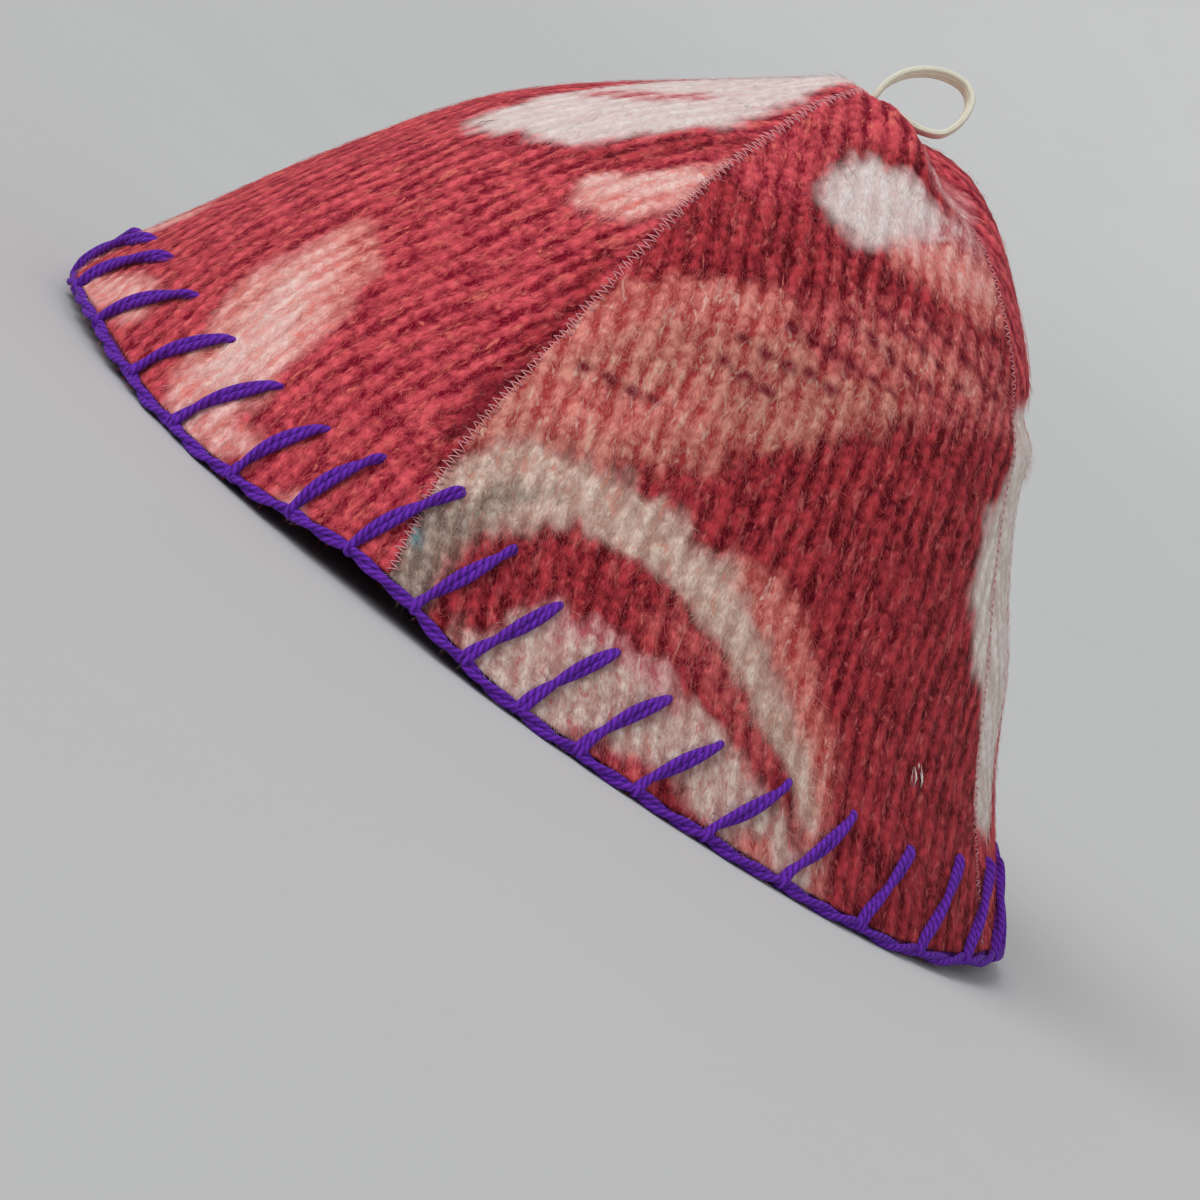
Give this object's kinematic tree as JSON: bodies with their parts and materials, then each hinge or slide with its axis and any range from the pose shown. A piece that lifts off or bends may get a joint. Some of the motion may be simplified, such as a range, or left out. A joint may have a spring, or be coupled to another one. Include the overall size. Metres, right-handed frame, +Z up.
{
  "type": "sauna hat",
  "caption": "Felted wool sauna hat: wedge panels sewn into a rounded crown with a flared brim, blanket-stitched yarn edge and a tape loop at the top.",
  "frame": {"origin": "on the floor under the middle of the brim", "axes": "+Z up from the brim to the crown, +X from the front of the hat to its back, +Y towards the wearer's right"},
  "size_m": [0.3026, 0.2645, 0.1823],
  "materials": {
    "felted_knit": "fulled jacquard knit wool, matt and fuzzy, burgundy, coral and cream",
    "yarn": "plied purple yarn, matt with a slight sheen",
    "tape": "ivory woven tape, matt"
  },
  "bodies": {
    "root": {"panel_front_left": "felted_knit", "panel_back_left": "felted_knit", "panel_back_right": "felted_knit", "panel_front_right": "felted_knit", "edge_yarn": "yarn", "hanging_loop": "tape"}
  },
  "joints": []
}
